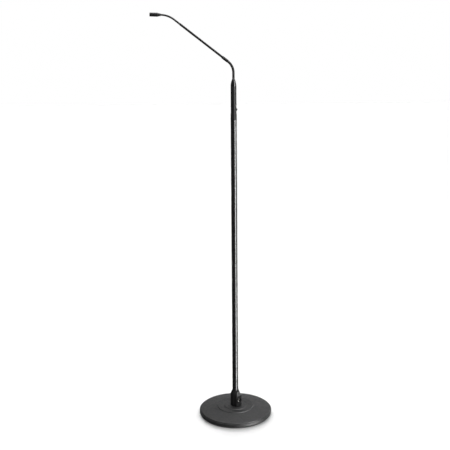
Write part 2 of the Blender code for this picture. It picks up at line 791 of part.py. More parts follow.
def gooseneck(label, start, end, radius, cone_deg, joint, inlet, outlet):
    """Beads from start to end, joined by hinges, and the empty that carries what follows.

    Odd hinges bend the neck up and down, even ones bend it sideways. inlet and outlet are the
    (length, radius) of the plain ends that stand in the neighbouring pieces.
    """
    pitch = (end - start) / HINGES_PER_NECK
    rim = radius * math.tan(math.radians(cone_deg))
    half_gap = GAP / 2
    hinges = [start + (k + 0.5) * pitch for k in range(HINGES_PER_NECK)]
    steps = 12

    stations = [(start - inlet[0], inlet[1])]
    if inlet[1] != radius:
        stations += [(start + GAP, inlet[1]), (start + 2 * GAP, radius)]
    stations += [(hinges[0] - half_gap - rim, radius), (hinges[0] - half_gap, 0)]
    make_object(f"{label}_neck_0", swept_bmesh(stations, steps), MATERIALS["gooseneck"], parent=joint)

    for index, hinge in enumerate(hinges, 1):
        centre = arm_frame(hinge).translation / MM
        joint = joint_empty(f"joint_{label}_neck_{index}", centre, joint)
        stations = [(hinge + half_gap, 0), (hinge + half_gap + rim, radius)]
        if index < HINGES_PER_NECK:
            following = hinges[index]
            stations.append(((hinge + following) / 2, radius))
            stations += [(following - half_gap - rim, radius), (following - half_gap, 0)]
        else:
            stations += [(end - 2 * GAP, radius), (end - GAP, outlet[1]), (end + outlet[0], outlet[1])]
        make_object(f"{label}_neck_{index}", swept_bmesh(stations, steps), MATERIALS["gooseneck"], parent=joint)
    return joint


def build_arm_tube(joint):
    """The ferrule and the rigid tube between the two goosenecks."""
    length = FERRULE_LENGTH
    ferrule_outline = [
        (FERRULE_R - 0.8, 0.0),
        (FERRULE_R, 1.2),
        (FERRULE_R, length - 2.5),
        (TUBE_R + 0.5, length),
        (TUBE_R + GAP, length),
        (TUBE_R + GAP, 11.0),
        (3.4, 11.0),
        (3.4, 0.0),
    ]
    turned("arm_ferrule", ferrule_outline, SMALL, MATERIALS["black_metal"], arm_frame(LOWER_END), joint)
    start = 11.0 + GAP
    end = FERRULE_LENGTH + TUBE_LENGTH
    tube_outline = [
        (TUBE_R, start),
        (TUBE_R, end - 0.8),
        (TUBE_R - 0.5, end),
        (2.7, end),
        (2.7, start),
    ]
    turned("arm_tube", tube_outline, SMALL, MATERIALS["black_metal"], arm_frame(LOWER_END), joint)


GRILLE_LENGTH = 9.3
HEAD_TAPER = 10.9


def build_head(joint):
    """The microphone's head: body, grille with its slots, capsule and rubber mount."""
    place = arm_frame(UPPER_END)
    body_end = HEAD_LENGTH - GRILLE_LENGTH
    body_outline = [
        (UPPER_NECK_R + 0.5, 0.0),
        (UPPER_NECK_R + 0.9, 0.8),
        (HEAD_R - 1.2, HEAD_TAPER * 0.62),
        (HEAD_R - 0.2, HEAD_TAPER * 0.93),
        (HEAD_R, HEAD_TAPER * 1.1),
        (HEAD_R, body_end - 0.2),
        (HEAD_R - 0.2, body_end),
        (4.9, body_end),
        (4.9, HEAD_TAPER + 1.0),
        (2.8, HEAD_TAPER - 1.0),
        (2.8, 0.0),
    ]
    turned("mic_body", body_outline, SMALL, MATERIALS["black_metal"], place, joint)

    grille_bottom = body_end + GAP
    groove = grille_bottom + 4.4
    grille_outline = [
        (HEAD_R - 0.2, grille_bottom),
        (HEAD_R, grille_bottom + 0.2),
        (HEAD_R, groove),
        (HEAD_R - 0.5, groove + 0.3),
        (HEAD_R - 0.5, groove + 0.9),
        (HEAD_R, groove + 1.2),
        (HEAD_R, HEAD_LENGTH - 0.8),
        (HEAD_R - 0.8, HEAD_LENGTH),
        (0, HEAD_LENGTH),
        (0, HEAD_LENGTH - 1.0),
        (5.0, HEAD_LENGTH - 1.0),
        (5.0, grille_bottom),
    ]
    grille = turned("mic_grille", grille_outline, SMALL, MATERIALS["black_metal"], place, joint)
    slot_count = 6
    for index in range(slot_count):
        spin = Matrix.Rotation(math.tau * (index + 0.5) / slot_count, 4, "Z")
        slot = box_bmesh((4.0, -1.1, grille_bottom + 1.3), (8.0, 1.1, grille_bottom + 2.9))
        combine(grille, cutter(f"cut_grille_slot_{index + 1}", slot, place @ spin))

    turned(
        "capsule_mount",
        washer_outline(3.9, 4.9 - GAP, body_end - 4.0, body_end + 1.0),
        SMALL,
        MATERIALS["rubber"],
        place,
        joint,
    )
    turned(
        "mic_capsule",
        rod_outline(3.9 - GAP, body_end - 5.0, HEAD_LENGTH - 2.4, 0.3),
        SMALL,
        MATERIALS["capsule"],
        place,
        joint,
    )


def build_microphone():
    """The plugged-in microphone, from its plug to its capsule."""
    joint = joint_empty("joint_unplug", (0.0, 0.0, PLUG_BOTTOM))
    build_plug(joint)
    joint = gooseneck(
        "lower",
        0.0,
        LOWER_END,
        LOWER_NECK_R,
        LOWER_END_CONE_DEG,
        joint,
        (11.5, LOWER_NECK_R),
        (10.0, 3.1),
    )
    build_arm_tube(joint)
    joint = gooseneck(
        "upper",
        TUBE_END,
        UPPER_END,
        UPPER_NECK_R,
        UPPER_END_CONE_DEG,
        joint,
        (10.0, 2.4),
        (8.0, 2.5),
    )
    build_head(joint)


# ---------------------------------------------------------------- whole


def clear_scene():
    """Removes whatever the file opened with."""
    for obj in list(bpy.data.objects):
        bpy.data.objects.remove(obj)


MATERIALS = {}


def make_materials():
    """Every material of the stand."""
    MATERIALS.update(
        guide=material("guide", (0.8, 0.8, 0.8), 0.8),
        cast_iron=material("cast_iron", (0.045, 0.045, 0.047), 0.62, 0.2),
        rubber=material("rubber", (0.02, 0.02, 0.02), 0.85),
        zinc=material("zinc", (0.6, 0.6, 0.58), 0.35, 1.0),
        housing=material("housing", (0.012, 0.012, 0.013), 0.5),
        black_steel=material("black_steel", (0.01, 0.01, 0.011), 0.3),
        black_metal=material("black_metal", (0.012, 0.012, 0.013), 0.38),
        neck=material("neck", (0.014, 0.014, 0.015), 0.28),
        insulator=material("insulator", (0.015, 0.015, 0.016), 0.55),
        pin=material("pin", (0.75, 0.74, 0.72), 0.22, 1.0),
        latch=material("latch", (0.02, 0.02, 0.021), 0.45),
        badge=material("badge", (0.25, 0.25, 0.26), 0.4, 0.6),
        cable=material("cable", (0.02, 0.02, 0.02), 0.6),
        gooseneck=material("gooseneck", (0.012, 0.012, 0.012), 0.42, 0.3),
        board=material("board", (0.01, 0.12, 0.05), 0.5),
        capsule=material("capsule", (0.7, 0.68, 0.6), 0.3, 1.0),
    )


def main():
    """Builds the stand."""
    clear_scene()
    make_materials()
    build_base()
    build_housing()
    build_outlet()
    build_pole()
    build_socket()
    build_microphone()


main()
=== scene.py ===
import json
import math

import bmesh
import bpy
from mathutils import Matrix, Vector


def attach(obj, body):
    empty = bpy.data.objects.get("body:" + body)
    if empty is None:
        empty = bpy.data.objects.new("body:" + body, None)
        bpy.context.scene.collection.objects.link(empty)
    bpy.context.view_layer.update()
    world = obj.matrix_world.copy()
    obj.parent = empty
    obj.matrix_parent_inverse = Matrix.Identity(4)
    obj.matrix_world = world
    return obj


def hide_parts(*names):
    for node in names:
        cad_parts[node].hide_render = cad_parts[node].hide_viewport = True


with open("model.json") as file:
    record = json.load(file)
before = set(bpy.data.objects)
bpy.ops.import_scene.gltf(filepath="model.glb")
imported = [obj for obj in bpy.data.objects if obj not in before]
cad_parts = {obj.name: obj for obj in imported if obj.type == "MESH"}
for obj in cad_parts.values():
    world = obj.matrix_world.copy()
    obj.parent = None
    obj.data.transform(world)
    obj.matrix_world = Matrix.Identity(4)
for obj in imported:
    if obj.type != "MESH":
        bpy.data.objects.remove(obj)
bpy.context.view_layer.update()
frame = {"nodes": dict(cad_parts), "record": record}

# A microphone floor stand with its gooseneck microphone plugged in: the visible surfaces,
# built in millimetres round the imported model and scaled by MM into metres.

MM = 0.001


# ---------------------------------------------------------------- camera

CAMERA_PLACE = (-0.0311, -2.728, 1.320)
CAMERA_TILT = 13.29
CAMERA_ROLL = -0.50
CAMERA_LENS = 67.44

camera = bpy.data.objects.new("camera", bpy.data.cameras.new("camera"))
bpy.context.scene.collection.objects.link(camera)
camera.data.sensor_width = 36.0
camera.data.lens = CAMERA_LENS
camera.location = CAMERA_PLACE
tilt = Matrix.Rotation(math.radians(90.0 - CAMERA_TILT), 4, "X")
roll = Matrix.Rotation(math.radians(CAMERA_ROLL), 4, "Z")
camera.rotation_euler = (tilt @ roll).to_euler()
bpy.context.scene.camera = camera
bpy.context.scene.view_settings.view_transform = "Standard"


# ---------------------------------------------------------------- materials


class Look:
    """A Principled material whose noise is laid out in metres on the piece itself."""

    def __init__(self, name, color, roughness, metallic=0.0, coat=0.0, specular=0.5):
        self.mat = bpy.data.materials.new(name)
        self.mat.use_nodes = True
        self.nodes = self.mat.node_tree.nodes
        self.links = self.mat.node_tree.links
        self.shader = self.nodes["Principled BSDF"]
        self.color = color
        self.shader.inputs["Base Color"].default_value = (*color, 1.0)
        self.shader.inputs["Roughness"].default_value = roughness
        self.shader.inputs["Metallic"].default_value = metallic
        self.shader.inputs["Coat Weight"].default_value = coat
        self.shader.inputs["Coat Roughness"].default_value = 0.12
        self.shader.inputs["Specular IOR Level"].default_value = specular
        self.roughness = roughness
        self.coords = self.nodes.new("ShaderNodeTexCoord").outputs["Object"]

    def noise(self, scale, detail=3.0, stretch=(1.0, 1.0, 1.0), rough=0.55):
        """A noise value with features about 1/scale metres across."""
        place = self.nodes.new("ShaderNodeMapping")
        place.inputs["Scale"].default_value = stretch
        self.links.new(self.coords, place.inputs["Vector"])
        tex = self.nodes.new("ShaderNodeTexNoise")
        tex.inputs["Scale"].default_value = scale
        tex.inputs["Detail"].default_value = detail
        tex.inputs["Roughness"].default_value = rough
        self.links.new(place.outputs["Vector"], tex.inputs["Vector"])
        return tex.outputs["Fac"]

    def remap(self, value, low, high, to_low, to_high):
        """A value mapped from one range to another, clamped."""
        node = self.nodes.new("ShaderNodeMapRange")
        for key, number in (("From Min", low), ("From Max", high), ("To Min", to_low), ("To Max", to_high)):
            node.inputs[key].default_value = number
        self.links.new(value, node.inputs["Value"])
        return node.outputs["Result"]

    def times(self, first, second):
        """The product of two values."""
        node = self.nodes.new("ShaderNodeMath")
        node.operation = "MULTIPLY"
        self.links.new(first, node.inputs[0])
        self.links.new(second, node.inputs[1])
        return node.outputs[0]

    def tint(self, factor, color):
        """Blends the colour so far towards another where factor is high."""
        node = self.nodes.new("ShaderNodeMix")
        node.data_type = "RGBA"
        base = self.shader.inputs["Base Color"]
        if base.is_linked:
            self.links.new(base.links[0].from_socket, node.inputs[6])
        else:
            node.inputs[6].default_value = (*self.color, 1.0)
        node.inputs[7].default_value = (*color, 1.0)
        self.links.new(factor, node.inputs[0])
        self.links.new(node.outputs[2], base)
        return self

    def vary(self, spread, scale, stretch=(1.0, 1.0, 1.0)):
        """Roughness that wanders by spread to either side."""
        value = self.noise(scale, 4.0, stretch)
        low, high = self.roughness - spread, self.roughness + spread
        self.links.new(self.remap(value, 0.3, 0.7, low, high), self.shader.inputs["Roughness"])
        return self

    def bump(self, scale, height, strength=1.0, stretch=(1.0, 1.0, 1.0), detail=3.0):
        """Relief of a height in metres, added over any relief before it."""
        node = self.nodes.new("ShaderNodeBump")
        node.inputs["Strength"].default_value = strength
        node.inputs["Distance"].default_value = height
        self.links.new(self.noise(scale, detail, stretch), node.inputs["Height"])
        normal = self.shader.inputs["Normal"]
        if normal.is_linked:
            self.links.new(normal.links[0].from_socket, node.inputs["Normal"])
        self.links.new(node.outputs["Normal"], normal)
        return self

    def edges(self, color, low=0.52, high=0.6, scale=220.0):
        """Lighter colour along convex edges, broken up by noise: wear, and on the cast iron also a painted
        highlight where its step edges catch the light.
        """
        point = self.nodes.new("ShaderNodeNewGeometry").outputs["Pointiness"]
        edge = self.remap(point, low, high, 0.0, 1.0)
        return self.tint(self.times(edge, self.remap(self.noise(scale), 0.4, 0.62, 0.0, 1.0)), color)

    def mottle(self, color, scale, low=0.42, high=0.68, stretch=(1.0, 1.0, 1.0)):
        """Patches of another tone."""
        return self.tint(self.remap(self.noise(scale, 4.0, stretch), low, high, 0.0, 1.0), color)


CAST = Look("cast_iron", (0.015, 0.015, 0.0155), 0.5, specular=0.4)
CAST.mottle((0.025, 0.025, 0.0255), 420.0, 0.38, 0.72)
CAST.mottle((0.020, 0.020, 0.021), 26.0, 0.45, 0.7)
# Lighter edges on the cast iron: part edge wear, part painted highlight along the base's lit step edges.
CAST.edges((0.07, 0.07, 0.071), 0.53, 0.62, 300.0)
CAST.vary(0.09, 90.0)
CAST.bump(240.0, 0.0007, 0.35, detail=4.0)
CAST.bump(950.0, 0.00035, 0.8)

RUBBER = Look("rubber", (0.016, 0.016, 0.016), 0.78)
RUBBER.mottle((0.030, 0.030, 0.029), 70.0)
RUBBER.vary(0.1, 160.0)
RUBBER.bump(1400.0, 0.00015, 0.6)

HOUSING = Look("housing_coat", (0.010, 0.010, 0.0105), 0.6, specular=0.11)
HOUSING.mottle((0.016, 0.016, 0.016), 500.0, 0.45, 0.75)
HOUSING.edges((0.035, 0.035, 0.035), 0.54, 0.62, 500.0)
HOUSING.vary(0.07, 220.0)
HOUSING.bump(1500.0, 0.00018, 0.7)

POLE = Look("pole_coat", (0.0085, 0.0085, 0.009), 0.27)
POLE.mottle((0.013, 0.013, 0.013), 60.0, 0.4, 0.8, (1.0, 1.0, 0.12))
POLE.vary(0.045, 320.0, (1.0, 1.0, 0.3))
POLE.bump(650.0, 0.00005, 0.5)

BLACK_METAL = Look("connector_coat", (0.011, 0.011, 0.0115), 0.42, 0.1, specular=0.14)
BLACK_METAL.mottle((0.018, 0.018, 0.019), 260.0, 0.45, 0.75)
BLACK_METAL.edges((0.07, 0.07, 0.07), 0.55, 0.66, 600.0)
BLACK_METAL.vary(0.06, 420.0, (1.0, 1.0, 0.25))
BLACK_METAL.bump(2200.0, 0.00003, 0.5, (1.0, 1.0, 0.2))

MIC_BLACK = Look("anodised_black", (0.010, 0.010, 0.0105), 0.42, 0.1, specular=0.14)
MIC_BLACK.mottle((0.016, 0.016, 0.0165), 300.0, 0.45, 0.75)
MIC_BLACK.edges((0.05, 0.05, 0.05), 0.56, 0.68, 700.0)
MIC_BLACK.vary(0.06, 500.0)
MIC_BLACK.bump(2600.0, 0.00003, 0.5)

GOOSENECK = Look("wound_steel", (0.009, 0.009, 0.009), 0.42, 0.1, specular=0.14)
GOOSENECK.mottle((0.015, 0.015, 0.015), 240.0, 0.42, 0.72)
GOOSENECK.edges((0.035, 0.035, 0.035), 0.52, 0.6, 500.0)
GOOSENECK.vary(0.07, 600.0)
GOOSENECK.bump(3000.0, 0.00003, 0.5)

NECK = Look("gloss_neck", (0.010, 0.010, 0.0105), 0.26, coat=0.05, specular=0.28)
NECK.mottle((0.014, 0.014, 0.014), 120.0)
NECK.vary(0.04, 380.0)
NECK.bump(700.0, 0.00003, 0.35)

INSULATOR = Look("insulator", (0.014, 0.014, 0.015), 0.55)
INSULATOR.mottle((0.02, 0.02, 0.02), 900.0)
INSULATOR.vary(0.06, 700.0)
INSULATOR.bump(2400.0, 0.00004, 0.5)

LATCH = Look("latch_plastic", (0.018, 0.018, 0.019), 0.42)
LATCH.mottle((0.026, 0.026, 0.026), 700.0)
LATCH.edges((0.06, 0.06, 0.06), 0.55, 0.66, 900.0)
LATCH.vary(0.06, 900.0)
LATCH.bump(2600.0, 0.00004, 0.5)

SILVER = Look("contact_silver", (0.76, 0.75, 0.72), 0.4, 1.0)
SILVER.mottle((0.58, 0.56, 0.52), 500.0, 0.5, 0.75)
SILVER.vary(0.07, 900.0, (1.0, 1.0, 0.2))
SILVER.bump(2600.0, 0.00002, 0.5)

BADGE = Look("badge_metal", (0.06, 0.06, 0.062), 0.6, 0.1, specular=0.14)
BADGE.mottle((0.085, 0.085, 0.086), 900.0, 0.4, 0.7, (1.0, 1.0, 0.1))
BADGE.edges((0.32, 0.32, 0.32), 0.51, 0.55, 300.0)
BADGE.vary(0.08, 1200.0, (1.0, 1.0, 0.1))
BADGE.bump(2600.0, 0.00004, 0.6, (1.0, 1.0, 0.08))

SCREW = Look("blackened_screw", (0.028, 0.028, 0.029), 0.36, 0.8)
SCREW.edges((0.2, 0.2, 0.2), 0.55, 0.65, 900.0)
SCREW.vary(0.08, 900.0)
SCREW.bump(2400.0, 0.00003, 0.6)

ZINC = Look("zinc_plate", (0.58, 0.58, 0.56), 0.36, 1.0)
ZINC.mottle((0.46, 0.45, 0.4), 300.0)
ZINC.vary(0.1, 500.0)
ZINC.bump(1800.0, 0.00003, 0.6)

CABLE = Look("cable_jacket", (0.018, 0.018, 0.018), 0.58)
CABLE.mottle((0.026, 0.026, 0.026), 200.0)
CABLE.vary(0.07, 400.0)
CABLE.bump(1500.0, 0.00005, 0.5)

BOARD = Look("board_mask", (0.008, 0.10, 0.04), 0.42)
BOARD.mottle((0.012, 0.14, 0.055), 900.0, 0.48, 0.56)
BOARD.vary(0.06, 900.0)
BOARD.bump(1400.0, 0.00005, 0.5)

CAPSULE = Look("capsule_metal", (0.66, 0.60, 0.42), 0.3, 1.0)
CAPSULE.mottle((0.5, 0.45, 0.32), 900.0)
CAPSULE.vary(0.08, 900.0)
CAPSULE.bump(2600.0, 0.00003, 0.5)

MESH = Look("wire_mesh", (0.05, 0.05, 0.05), 0.4, 0.8)
MESH.mottle((0.09, 0.09, 0.09), 1400.0)
MESH.vary(0.08, 1500.0)
MESH.bump(4500.0, 0.0002, 0.9, detail=0.0)

SLOT_LOOKS = {
    "cast_iron_black": CAST,
    "rubber_black": RUBBER,
    "zinc_steel": ZINC,
    "housing_black": HOUSING,
    "badge_grey": BADGE,
    "screw_black": SCREW,
    "connector_black": BLACK_METAL,
    "insulator_black": INSULATOR,
    "contact_silver": SILVER,
    "pole_black": POLE,
    "cable_jacket": CABLE,
    "latch_black": LATCH,
    "board_green": BOARD,
    "neck_gloss": NECK,
    "gooseneck_black": GOOSENECK,
    "mic_black": MIC_BLACK,
    "capsule_gold": CAPSULE,
}
SLOT_OF = {part["node"]: part["material_slot"] for part in frame["record"]["subparts"]}

for node_name, node in frame["nodes"].items():
    node.data.materials.clear()
    node.data.materials.append(SLOT_LOOKS[SLOT_OF[node_name]].mat)
    weld = node.modifiers.new("weld", "WELD")
    weld.merge_threshold = 0.00001
    soft = node.modifiers.new("soft_edges", "BEVEL")
    soft.width = 0.00008
    soft.segments = 1
    soft.limit_method = "ANGLE"
    soft.angle_limit = math.radians(50.0)


# ---------------------------------------------------------------- mesh helpers


def link(name, bm):
    """An object from a bmesh."""
    bmesh.ops.recalc_face_normals(bm, faces=bm.faces[:])
    mesh = bpy.data.meshes.new(name)
    bm.to_mesh(mesh)
    bm.free()
    obj = bpy.data.objects.new(name, mesh)
    bpy.context.scene.collection.objects.link(obj)
    return obj


def shade(obj, look, sharp=38.0):
    """Smooth shading broken only at sharp edges, weighted so that flats stay flat."""
    obj.data.materials.append(look.mat)
    obj.data.shade_smooth()
    obj.data.set_sharp_from_angle(angle=math.radians(sharp))
    normals = obj.modifiers.new("weighted_normals", "WEIGHTED_NORMAL")
    normals.keep_sharp = True
    return obj


def finish(obj, body, slot, nodes=(), look=None, sharp=38.0):
    """Gives a piece its material and its body, and hides the imported nodes that it stands for."""
    shade(obj, look or SLOT_LOOKS[slot], sharp)
    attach(obj, body)
    if nodes:
        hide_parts(*nodes)
    return obj


def apply_modifiers(obj):
    """Keeps the evaluated mesh, so that no Boolean and no cutter is left in the scene."""
    depsgraph = bpy.context.evaluated_depsgraph_get()
    mesh = bpy.data.meshes.new_from_object(obj.evaluated_get(depsgraph))
    obj.modifiers.clear()
    obj.data = mesh
    return obj


def combine(obj, operation, *others):
    """Exact Booleans with other objects, which are then removed."""
    for other in others:
        modifier = obj.modifiers.new("boolean", "BOOLEAN")
        modifier.operation = operation
        modifier.solver = "EXACT"
        modifier.object = other
    apply_modifiers(obj)
    for other in others:
        bpy.data.objects.remove(other)
    return obj


def rounded(points, radius=0.25, arcs=4):
    """A closed outline with its corners rounded; a point may carry its own radius."""
    made = []
    for index, point in enumerate(points):
        here = Vector(point[:2])
        reach = point[2] if len(point) > 2 else radius
        before = Vector(points[index - 1][:2]) - here
        after = Vector(points[(index + 1) % len(points)][:2]) - here
        turn = math.pi - before.angle(after)
        if here.x == 0 or reach == 0 or turn < math.radians(6.0):
            made.append(tuple(here))
            continue
        cut = min(reach * math.tan(turn / 2), 0.45 * before.length, 0.45 * after.length)
        start = here + before.normalized() * cut
        end = here + after.normalized() * cut
        for step in range(arcs + 1):
            t = step / arcs
            made.append(tuple(start * (1 - t) ** 2 + here * 2 * t * (1 - t) + end * t * t))
    return made


def circle(bm, radius, height, steps):
    """A ring of vertices round Z."""
    turns = [math.tau * step / steps for step in range(steps)]
    return [bm.verts.new(Vector((radius * math.cos(a), radius * math.sin(a), height)) * MM) for a in turns]


def skin(bm, rings):
    """Faces between rings that have as many vertices each, and one face across each end."""
    for low, high in zip(rings, rings[1:]):
        for step in range(len(low)):
            after = (step + 1) % len(low)
            bm.faces.new((low[step], low[after], high[after], high[step]))
    bm.faces.new(rings[0])
    bm.faces.new(rings[-1])


def lathe_bmesh(outline, steps, place=None):
    """A solid turned round Z from a closed outline of (radius, height) points."""
    bm = bmesh.new()
    rings = []
    for radius, height in outline:
        if radius == 0:
            rings.append([bm.verts.new((0.0, 0.0, height * MM))])
            continue
        rings.append(circle(bm, radius, height, steps))
    for index, ring in enumerate(rings):
        following = rings[(index + 1) % len(rings)]
        if len(ring) == 1 and len(following) == 1:
            continue
        for step in range(steps):
            after = (step + 1) % steps
            if len(ring) == 1:
                bm.faces.new((ring[0], following[step], following[after]))
            elif len(following) == 1:
                bm.faces.new((ring[step], following[0], ring[after]))
            else:
                bm.faces.new((ring[step], ring[after], following[after], following[step]))
    if place is not None:
        bm.transform(place)
    return bm


def lathe(name, outline, steps=96, place=None):
    """A turned object."""
    return link(name, lathe_bmesh(outline, steps, place))


def rod(radius, bottom, top):
    """The outline of a solid rod."""
    return [(0, bottom), (radius, bottom), (radius, top), (0, top)]


def flared(radius, bottom, flare, wide, shoulder, top):
    """The outline of a hole that widens between two heights, flare and shoulder, to a second radius."""
    return [(0, bottom), (radius, bottom), (radius, flare), (wide, shoulder), (wide, top), (0, top)]


def block(name, low, high, place=None, bevel=0.0, segments=3):
    """A box between two corners, its edges bevelled."""
    bm = bmesh.new()
    bmesh.ops.create_cube(bm, size=1.0)
    low, high = Vector(low), Vector(high)
    for vert in bm.verts:
        share = vert.co + Vector((0.5, 0.5, 0.5))
        vert.co = Vector([(a + (b - a) * t) * MM for a, b, t in zip(low, high, share)])
    if bevel:
        edges = bm.edges[:]
        bmesh.ops.bevel(bm, geom=edges, offset=bevel * MM, segments=segments, affect="EDGES", profile=0.5)
    if place is not None:
        bm.transform(place)
    return link(name, bm)


# ---------------------------------------------------------------- base

BASE_R = 125.0
HUB_HEIGHT = 30.0
PAD_RIBS = 17
RIB_PITCH = 5.8
RIB_WIDTH = 3.6

casting = [
    (6.0, 14.0),
    (20.0, 14.0, 0.8),
    (22.0, 22.0),
    (62.0, 19.0),
    (107.0, 10.2),
    (108.5, 2.7),
    (116.2, 2.7),
    (116.2, 6.3),
    (BASE_R, 6.3, 0.5),
    (BASE_R, 15.2, 1.1),
    (123.1, 15.3, 0.3),
    (122.9, 14.5, 0.3),
    (122.0, 14.5, 0.3),
    (121.8, 17.9, 2.4),
    (116.0, 18.6, 6.0),
    (64.9, 26.9, 0.8),
    (64.3, 26.7, 0.4),
    (63.2, 26.8, 0.4),
    (61.6, 29.3, 1.1),
    (58.5, 29.0, 1.5),
    (42.0, 29.0, 0.4),
    (41.4, 28.4, 0.3),
    (40.2, 28.4, 0.3),
    (39.0, HUB_HEIGHT, 0.6),
    (6.0, HUB_HEIGHT),
]
finish(lathe("casting", rounded(casting, 0.6, 5), 192), "stand", "cast_iron_black", ["base_plate"])

rim = [
    (116.5, 0.0),
    (BASE_R - 4.7, 0.0, 0.6),
    (BASE_R - 0.9, 4.3, 0.6),
    (BASE_R - 0.4, 5.4, 0.3),
    (BASE_R - 0.8, 6.0, 0.3),
    (116.5, 6.0, 0.4),
]
finish(lathe("rubber_rim", rounded(rim, 0.4, 4), 192), "stand", "rubber_black", ["rim_ring"])

pad = [(0, 0.35), (14.0, 0.35, 0.2)]
for rib in range(PAD_RIBS):
    inner = 16.0 + rib * RIB_PITCH
    pad += [(inner, 0.0, 0.25), (inner + RIB_WIDTH, 0.0, 0.25)]
    pad += [(inner + 4.2, 0.35, 0.15), (inner + 5.4, 0.35, 0.15)]
pad += [(115.3, 0.0, 0.3), (115.9, 0.4, 0.3), (115.9, 2.4, 0.3), (0, 2.4)]
finish(lathe("ribbed_pad", rounded(pad, 0.2, 2), 160), "stand", "rubber_black", ["floor_pad"])


# ---------------------------------------------------------------- connector housing and outlet

HOUSING_BOTTOM = 30.3
HOUSING_TOP = 87.0
HOUSING_R = 17.4
HOUSING_NECK_R = 10.9
HOUSING_KNEE = 71.5
SNOUT_REACH = 19.4
SNOUT_HALF_WIDTH = 12.6
SNOUT_TOP = 68.0
SNOUT_NECK_REACH = 12.2
SNOUT_NECK_HALF_WIDTH = 4.5
SNOUT_CORNER_R = 3.0
FOOT_HEIGHT = 3.5
FOOT_INSET = 2.4
KNEE_SOFTNESS = 0.5
SNOUT_FILLET = 0.3
OUTLET_AZIMUTH = 42.0
OUTLET_HEIGHT = 51.2
RECESS_R = 8.2
FLANGE_FACE = 20.6
BADGE_MIDDLE = 75.3
POLE_SCREW_HEIGHT = 76.0
SCREW_AZIMUTHS = (OUTLET_AZIMUTH + 150.0, OUTLET_AZIMUTH + 210.0)
CONTACT_CIRCLE_R = 4.5
CONTACT_TURNS = (180.0, 75.0, -75.0)


def outlet_place(reach=0.0, side=0.0, height=OUTLET_HEIGHT):
    """A frame whose Z points out of the outlet, X up and Y to its side."""
    angle = math.radians(OUTLET_AZIMUTH)
    out = Vector((math.sin(angle), -math.cos(angle), 0.0))
    up = Vector((0.0, 0.0, 1.0))
    across = out.cross(up)
    place = (out * reach + across * side + up * height) * MM
    return Matrix.Translation(place) @ Matrix((up, across, out)).transposed().to_4x4()


def radial_place(azimuth, height):
    """A frame on the pole's axis whose Z points outwards at an azimuth from -Y towards +X."""
    angle = math.radians(azimuth)
    out = Vector((math.sin(angle), -math.cos(angle), 0.0))
    turned = out.to_track_quat("Z", "Y").to_matrix().to_4x4()
    return Matrix.Translation(Vector((0.0, 0.0, height * MM))) @ turned


def ramp(value, low, high, at_low, at_high):
    """A value that goes from at_low to at_high as value goes from low to high."""
    share = max(0.0, min(1.0, (value - low) / (high - low)))
    return at_low + (at_high - at_low) * share


def rounded_box_ray(angle, reach, half_width, corner):
    """Distance from the centre to a box with rounded front corners, along a ray."""
    c, s = math.cos(angle), abs(math.sin(angle))
    if c <= 0.0:
        return 0.0
    front = reach / c
    if front * s <= half_width - corner:
        return front
    side = half_width / s if s > 0 else front
    if side * c <= reach - corner:
        return side
    middle = Vector((reach - corner, half_width - corner))
    along = middle.x * c + middle.y * s
    return along + math.sqrt(max(0.0, along**2 - middle.length_squared + corner**2))


def housing_radius(angle, height):
    """A round body with a flat-faced snout at angle 0, filleted together."""
    foot = ramp(height, HOUSING_BOTTOM, HOUSING_BOTTOM + FOOT_HEIGHT, 0.0, 1.0)
    round_foot = FOOT_INSET * (1.0 - math.sqrt(1.0 - (1.0 - foot) ** 2))
    body = ramp(height, HOUSING_BOTTOM, HOUSING_KNEE, HOUSING_R, HOUSING_R - 0.4) - round_foot
    cone = ramp(height, HOUSING_KNEE, HOUSING_TOP, HOUSING_R - 0.4, HOUSING_NECK_R)
    knee = KNEE_SOFTNESS
    barrel = -knee * math.log(math.exp(-body / knee) + math.exp(-cone / knee)) + 0.1
    reach = ramp(height, SNOUT_TOP, HOUSING_TOP, SNOUT_REACH, SNOUT_NECK_REACH) - round_foot
    half_width = ramp(height, SNOUT_TOP, HOUSING_TOP, SNOUT_HALF_WIDTH, SNOUT_NECK_HALF_WIDTH) - round_foot
    snout = rounded_box_ray(angle, reach, half_width, SNOUT_CORNER_R)
    return barrel + SNOUT_FILLET * math.log1p(math.exp((snout - barrel) / SNOUT_FILLET))


def housing_heights():
    """Heights of the housing's rings, closer together where its outline turns."""
    heights = [HOUSING_BOTTOM + h for h in (0.0, 0.15, 0.4, 0.8, 1.3, 2.0, 2.8, 3.6, 8.0, 14.0)]
    heights += [52.0, 60.0]
    heights += [SNOUT_TOP + h for h in (-1.2, -0.6, -0.2, 0.2, 0.6, 1.2)]
    heights += [HOUSING_KNEE + h for h in (-2.0, -1.0, -0.4, 0.4, 1.0, 2.0)]
    heights += [76.0, 79.0, 83.0, HOUSING_TOP - 1.0, HOUSING_TOP - 0.6, HOUSING_TOP - 0.2, HOUSING_TOP]
    return heights


def housing_bmesh():
    """The housing's skin, closed at top and bottom."""
    steps = 144
    top_rounding = {HOUSING_TOP - 0.6: 0.06, HOUSING_TOP - 0.2: 0.3, HOUSING_TOP: 0.7}
    bm = bmesh.new()
    rings = []
    for height in housing_heights():
        ring = []
        for step in range(steps):
            angle = math.tau * step / steps
            wrapped = (angle + math.pi) % math.tau - math.pi
            radius = housing_radius(wrapped, height) - top_rounding.get(height, 0.0)
            turn = math.radians(OUTLET_AZIMUTH) + angle
            spot = Vector((radius * math.sin(turn), -radius * math.cos(turn), height))
            ring.append(bm.verts.new(spot * MM))
        rings.append(ring)
    skin(bm, rings)
    return bm


